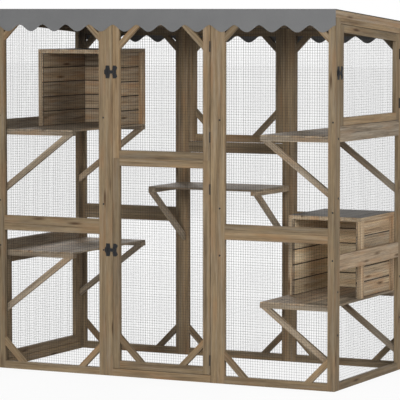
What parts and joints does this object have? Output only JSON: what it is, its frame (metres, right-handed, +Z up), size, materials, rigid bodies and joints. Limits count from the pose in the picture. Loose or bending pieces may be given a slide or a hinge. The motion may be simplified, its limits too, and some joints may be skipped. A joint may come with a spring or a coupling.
{
  "type": "cat enclosure",
  "caption": "Walk-in wooden cat enclosure with wire mesh walls, two front doors, side and rear hatches, shelves, sleeping houses and a sloping covered roof.",
  "frame": {"origin": "floor level, middle of the footprint", "axes": "+X to the right along the front, +Y to the back, +Z up"},
  "size_m": [1.8292, 0.8592, 1.7801],
  "materials": {
    "frame_wood": "matte",
    "inner_wood": "matte",
    "galvanised_wire": "satin",
    "cover_sheet": "matte",
    "panel_board": "matte",
    "roof_felt": "matte",
    "black_iron": "satin"
  },
  "bodies": {
    "enclosure": {"bridge_deck": "inner_wood", "bridge_supports": "inner_wood", "front_centre_frame": "frame_wood", "front_fixed_mesh": "galvanised_wire", "front_left_panel_frame": "frame_wood", "front_right_panel_frame": "frame_wood", "front_valance": "cover_sheet", "hinge_frame_leaves": "black_iron", "latch_base_plates": "black_iron", "left_side_frame": "frame_wood", "left_side_mesh": "galvanised_wire", "lower_house_posts": "inner_wood", "lower_house_roof": "roof_felt", "lower_house_walls": "inner_wood", "lower_left_shelf_deck": "inner_wood", "lower_left_shelf_supports": "inner_wood", "lower_right_shelf_deck": "inner_wood", "lower_right_shelf_supports": "inner_wood", "rear_centre_frame": "frame_wood", "rear_fixed_mesh": "galvanised_wire", "rear_left_panel_frame": "frame_wood", "rear_right_panel_frame": "frame_wood", "rear_valance": "cover_sheet", "right_side_frame": "frame_wood", "right_side_mesh": "galvanised_wire", "roof_cover": "cover_sheet", "roof_deck": "panel_board", "roof_frame": "frame_wood", "upper_house_posts": "inner_wood", "upper_house_roof": "roof_felt", "upper_house_walls": "inner_wood", "upper_left_shelf_deck": "inner_wood", "upper_left_shelf_supports": "inner_wood", "upper_right_shelf_deck": "inner_wood", "upper_right_shelf_supports": "inner_wood"},
    "front_upper_door": {"front_upper_door_frame": "frame_wood", "front_upper_door_mesh": "galvanised_wire", "front_upper_door_ironwork": "black_iron"},
    "front_upper_door_hasp_body": {"front_upper_door_hasp": "black_iron"},
    "front_upper_door_staple_body": {"front_upper_door_staple": "black_iron"},
    "front_lower_door": {"front_lower_door_frame": "frame_wood", "front_lower_door_mesh": "galvanised_wire", "front_lower_door_ironwork": "black_iron"},
    "front_lower_door_hasp_body": {"front_lower_door_hasp": "black_iron"},
    "front_lower_door_staple_body": {"front_lower_door_staple": "black_iron"},
    "right_hatch": {"right_hatch_frame": "frame_wood", "right_hatch_mesh": "galvanised_wire", "right_hatch_ironwork": "black_iron"},
    "right_hatch_hasp_body": {"right_hatch_hasp": "black_iron"},
    "right_hatch_staple_body": {"right_hatch_staple": "black_iron"},
    "left_hatch": {"left_hatch_frame": "frame_wood", "left_hatch_mesh": "galvanised_wire", "left_hatch_ironwork": "black_iron"},
    "left_hatch_hasp_body": {"left_hatch_hasp": "black_iron"},
    "left_hatch_staple_body": {"left_hatch_staple": "black_iron"},
    "rear_hatch": {"rear_hatch_frame": "frame_wood", "rear_hatch_mesh": "galvanised_wire", "rear_hatch_ironwork": "black_iron"},
    "rear_hatch_hasp_body": {"rear_hatch_hasp": "black_iron"},
    "rear_hatch_staple_body": {"rear_hatch_staple": "black_iron"}
  },
  "joints": [
    {"name": "front_upper_door_swing", "type": "hinge", "parent": "enclosure", "child": "front_upper_door", "pos_m": [0.2625, -0.4256, 1.603], "axis": [0, 0, 1], "range_deg": [0, 170], "deforming": ["front_valance"]},
    {"name": "front_upper_door_hasp_swing", "type": "hinge", "parent": "front_upper_door", "child": "front_upper_door_hasp_body", "pos_m": [-0.259, -0.4253, 1.477], "axis": [0, 0, 1], "range_deg": [0, 150]},
    {"name": "front_upper_door_staple_turn", "type": "hinge", "parent": "enclosure", "child": "front_upper_door_staple_body", "pos_m": [-0.291, -0.4255, 1.477], "axis": [0, -1, 0], "range_deg": [0, 90]},
    {"name": "front_lower_door_swing", "type": "hinge", "parent": "enclosure", "child": "front_lower_door", "pos_m": [0.2625, -0.4256, 0.926], "axis": [0, 0, 1], "range_deg": [0, 170]},
    {"name": "front_lower_door_hasp_swing", "type": "hinge", "parent": "front_lower_door", "child": "front_lower_door_hasp_body", "pos_m": [-0.259, -0.4253, 0.615], "axis": [0, 0, 1], "range_deg": [0, 150]},
    {"name": "front_lower_door_staple_turn", "type": "hinge", "parent": "enclosure", "child": "front_lower_door_staple_body", "pos_m": [-0.291, -0.4255, 0.615], "axis": [0, -1, 0], "range_deg": [0, 90]},
    {"name": "right_hatch_swing", "type": "hinge", "parent": "enclosure", "child": "right_hatch", "pos_m": [0.9106, 0.364, 1.56], "axis": [0, 0, 1], "range_deg": [0, 170]},
    {"name": "right_hatch_hasp_swing", "type": "hinge", "parent": "right_hatch", "child": "right_hatch_hasp_body", "pos_m": [0.9103, -0.3605, 1.484], "axis": [0, 0, 1], "range_deg": [0, 150]},
    {"name": "right_hatch_staple_turn", "type": "hinge", "parent": "enclosure", "child": "right_hatch_staple_body", "pos_m": [0.9105, -0.3925, 1.484], "axis": [1, 0, 0], "range_deg": [0, 90]},
    {"name": "left_hatch_swing", "type": "hinge", "parent": "enclosure", "child": "left_hatch", "pos_m": [-0.9106, -0.364, 0.48], "axis": [0, 0, 1], "range_deg": [0, 170]},
    {"name": "left_hatch_hasp_swing", "type": "hinge", "parent": "left_hatch", "child": "left_hatch_hasp_body", "pos_m": [-0.9103, 0.3605, 0.3], "axis": [0, 0, 1], "range_deg": [0, 150]},
    {"name": "left_hatch_staple_turn", "type": "hinge", "parent": "enclosure", "child": "left_hatch_staple_body", "pos_m": [-0.9105, 0.3925, 0.3], "axis": [-1, 0, 0], "range_deg": [0, 90]},
    {"name": "rear_hatch_swing", "type": "hinge", "parent": "enclosure", "child": "rear_hatch", "pos_m": [-0.2625, 0.4256, 1.56], "axis": [0, 0, 1], "range_deg": [0, 170], "deforming": ["rear_valance"]},
    {"name": "rear_hatch_hasp_swing", "type": "hinge", "parent": "rear_hatch", "child": "rear_hatch_hasp_body", "pos_m": [0.259, 0.4253, 1.392], "axis": [0, 0, 1], "range_deg": [0, 150]},
    {"name": "rear_hatch_staple_turn", "type": "hinge", "parent": "enclosure", "child": "rear_hatch_staple_body", "pos_m": [0.291, 0.4255, 1.392], "axis": [0, 1, 0], "range_deg": [0, 90]}
  ]
}
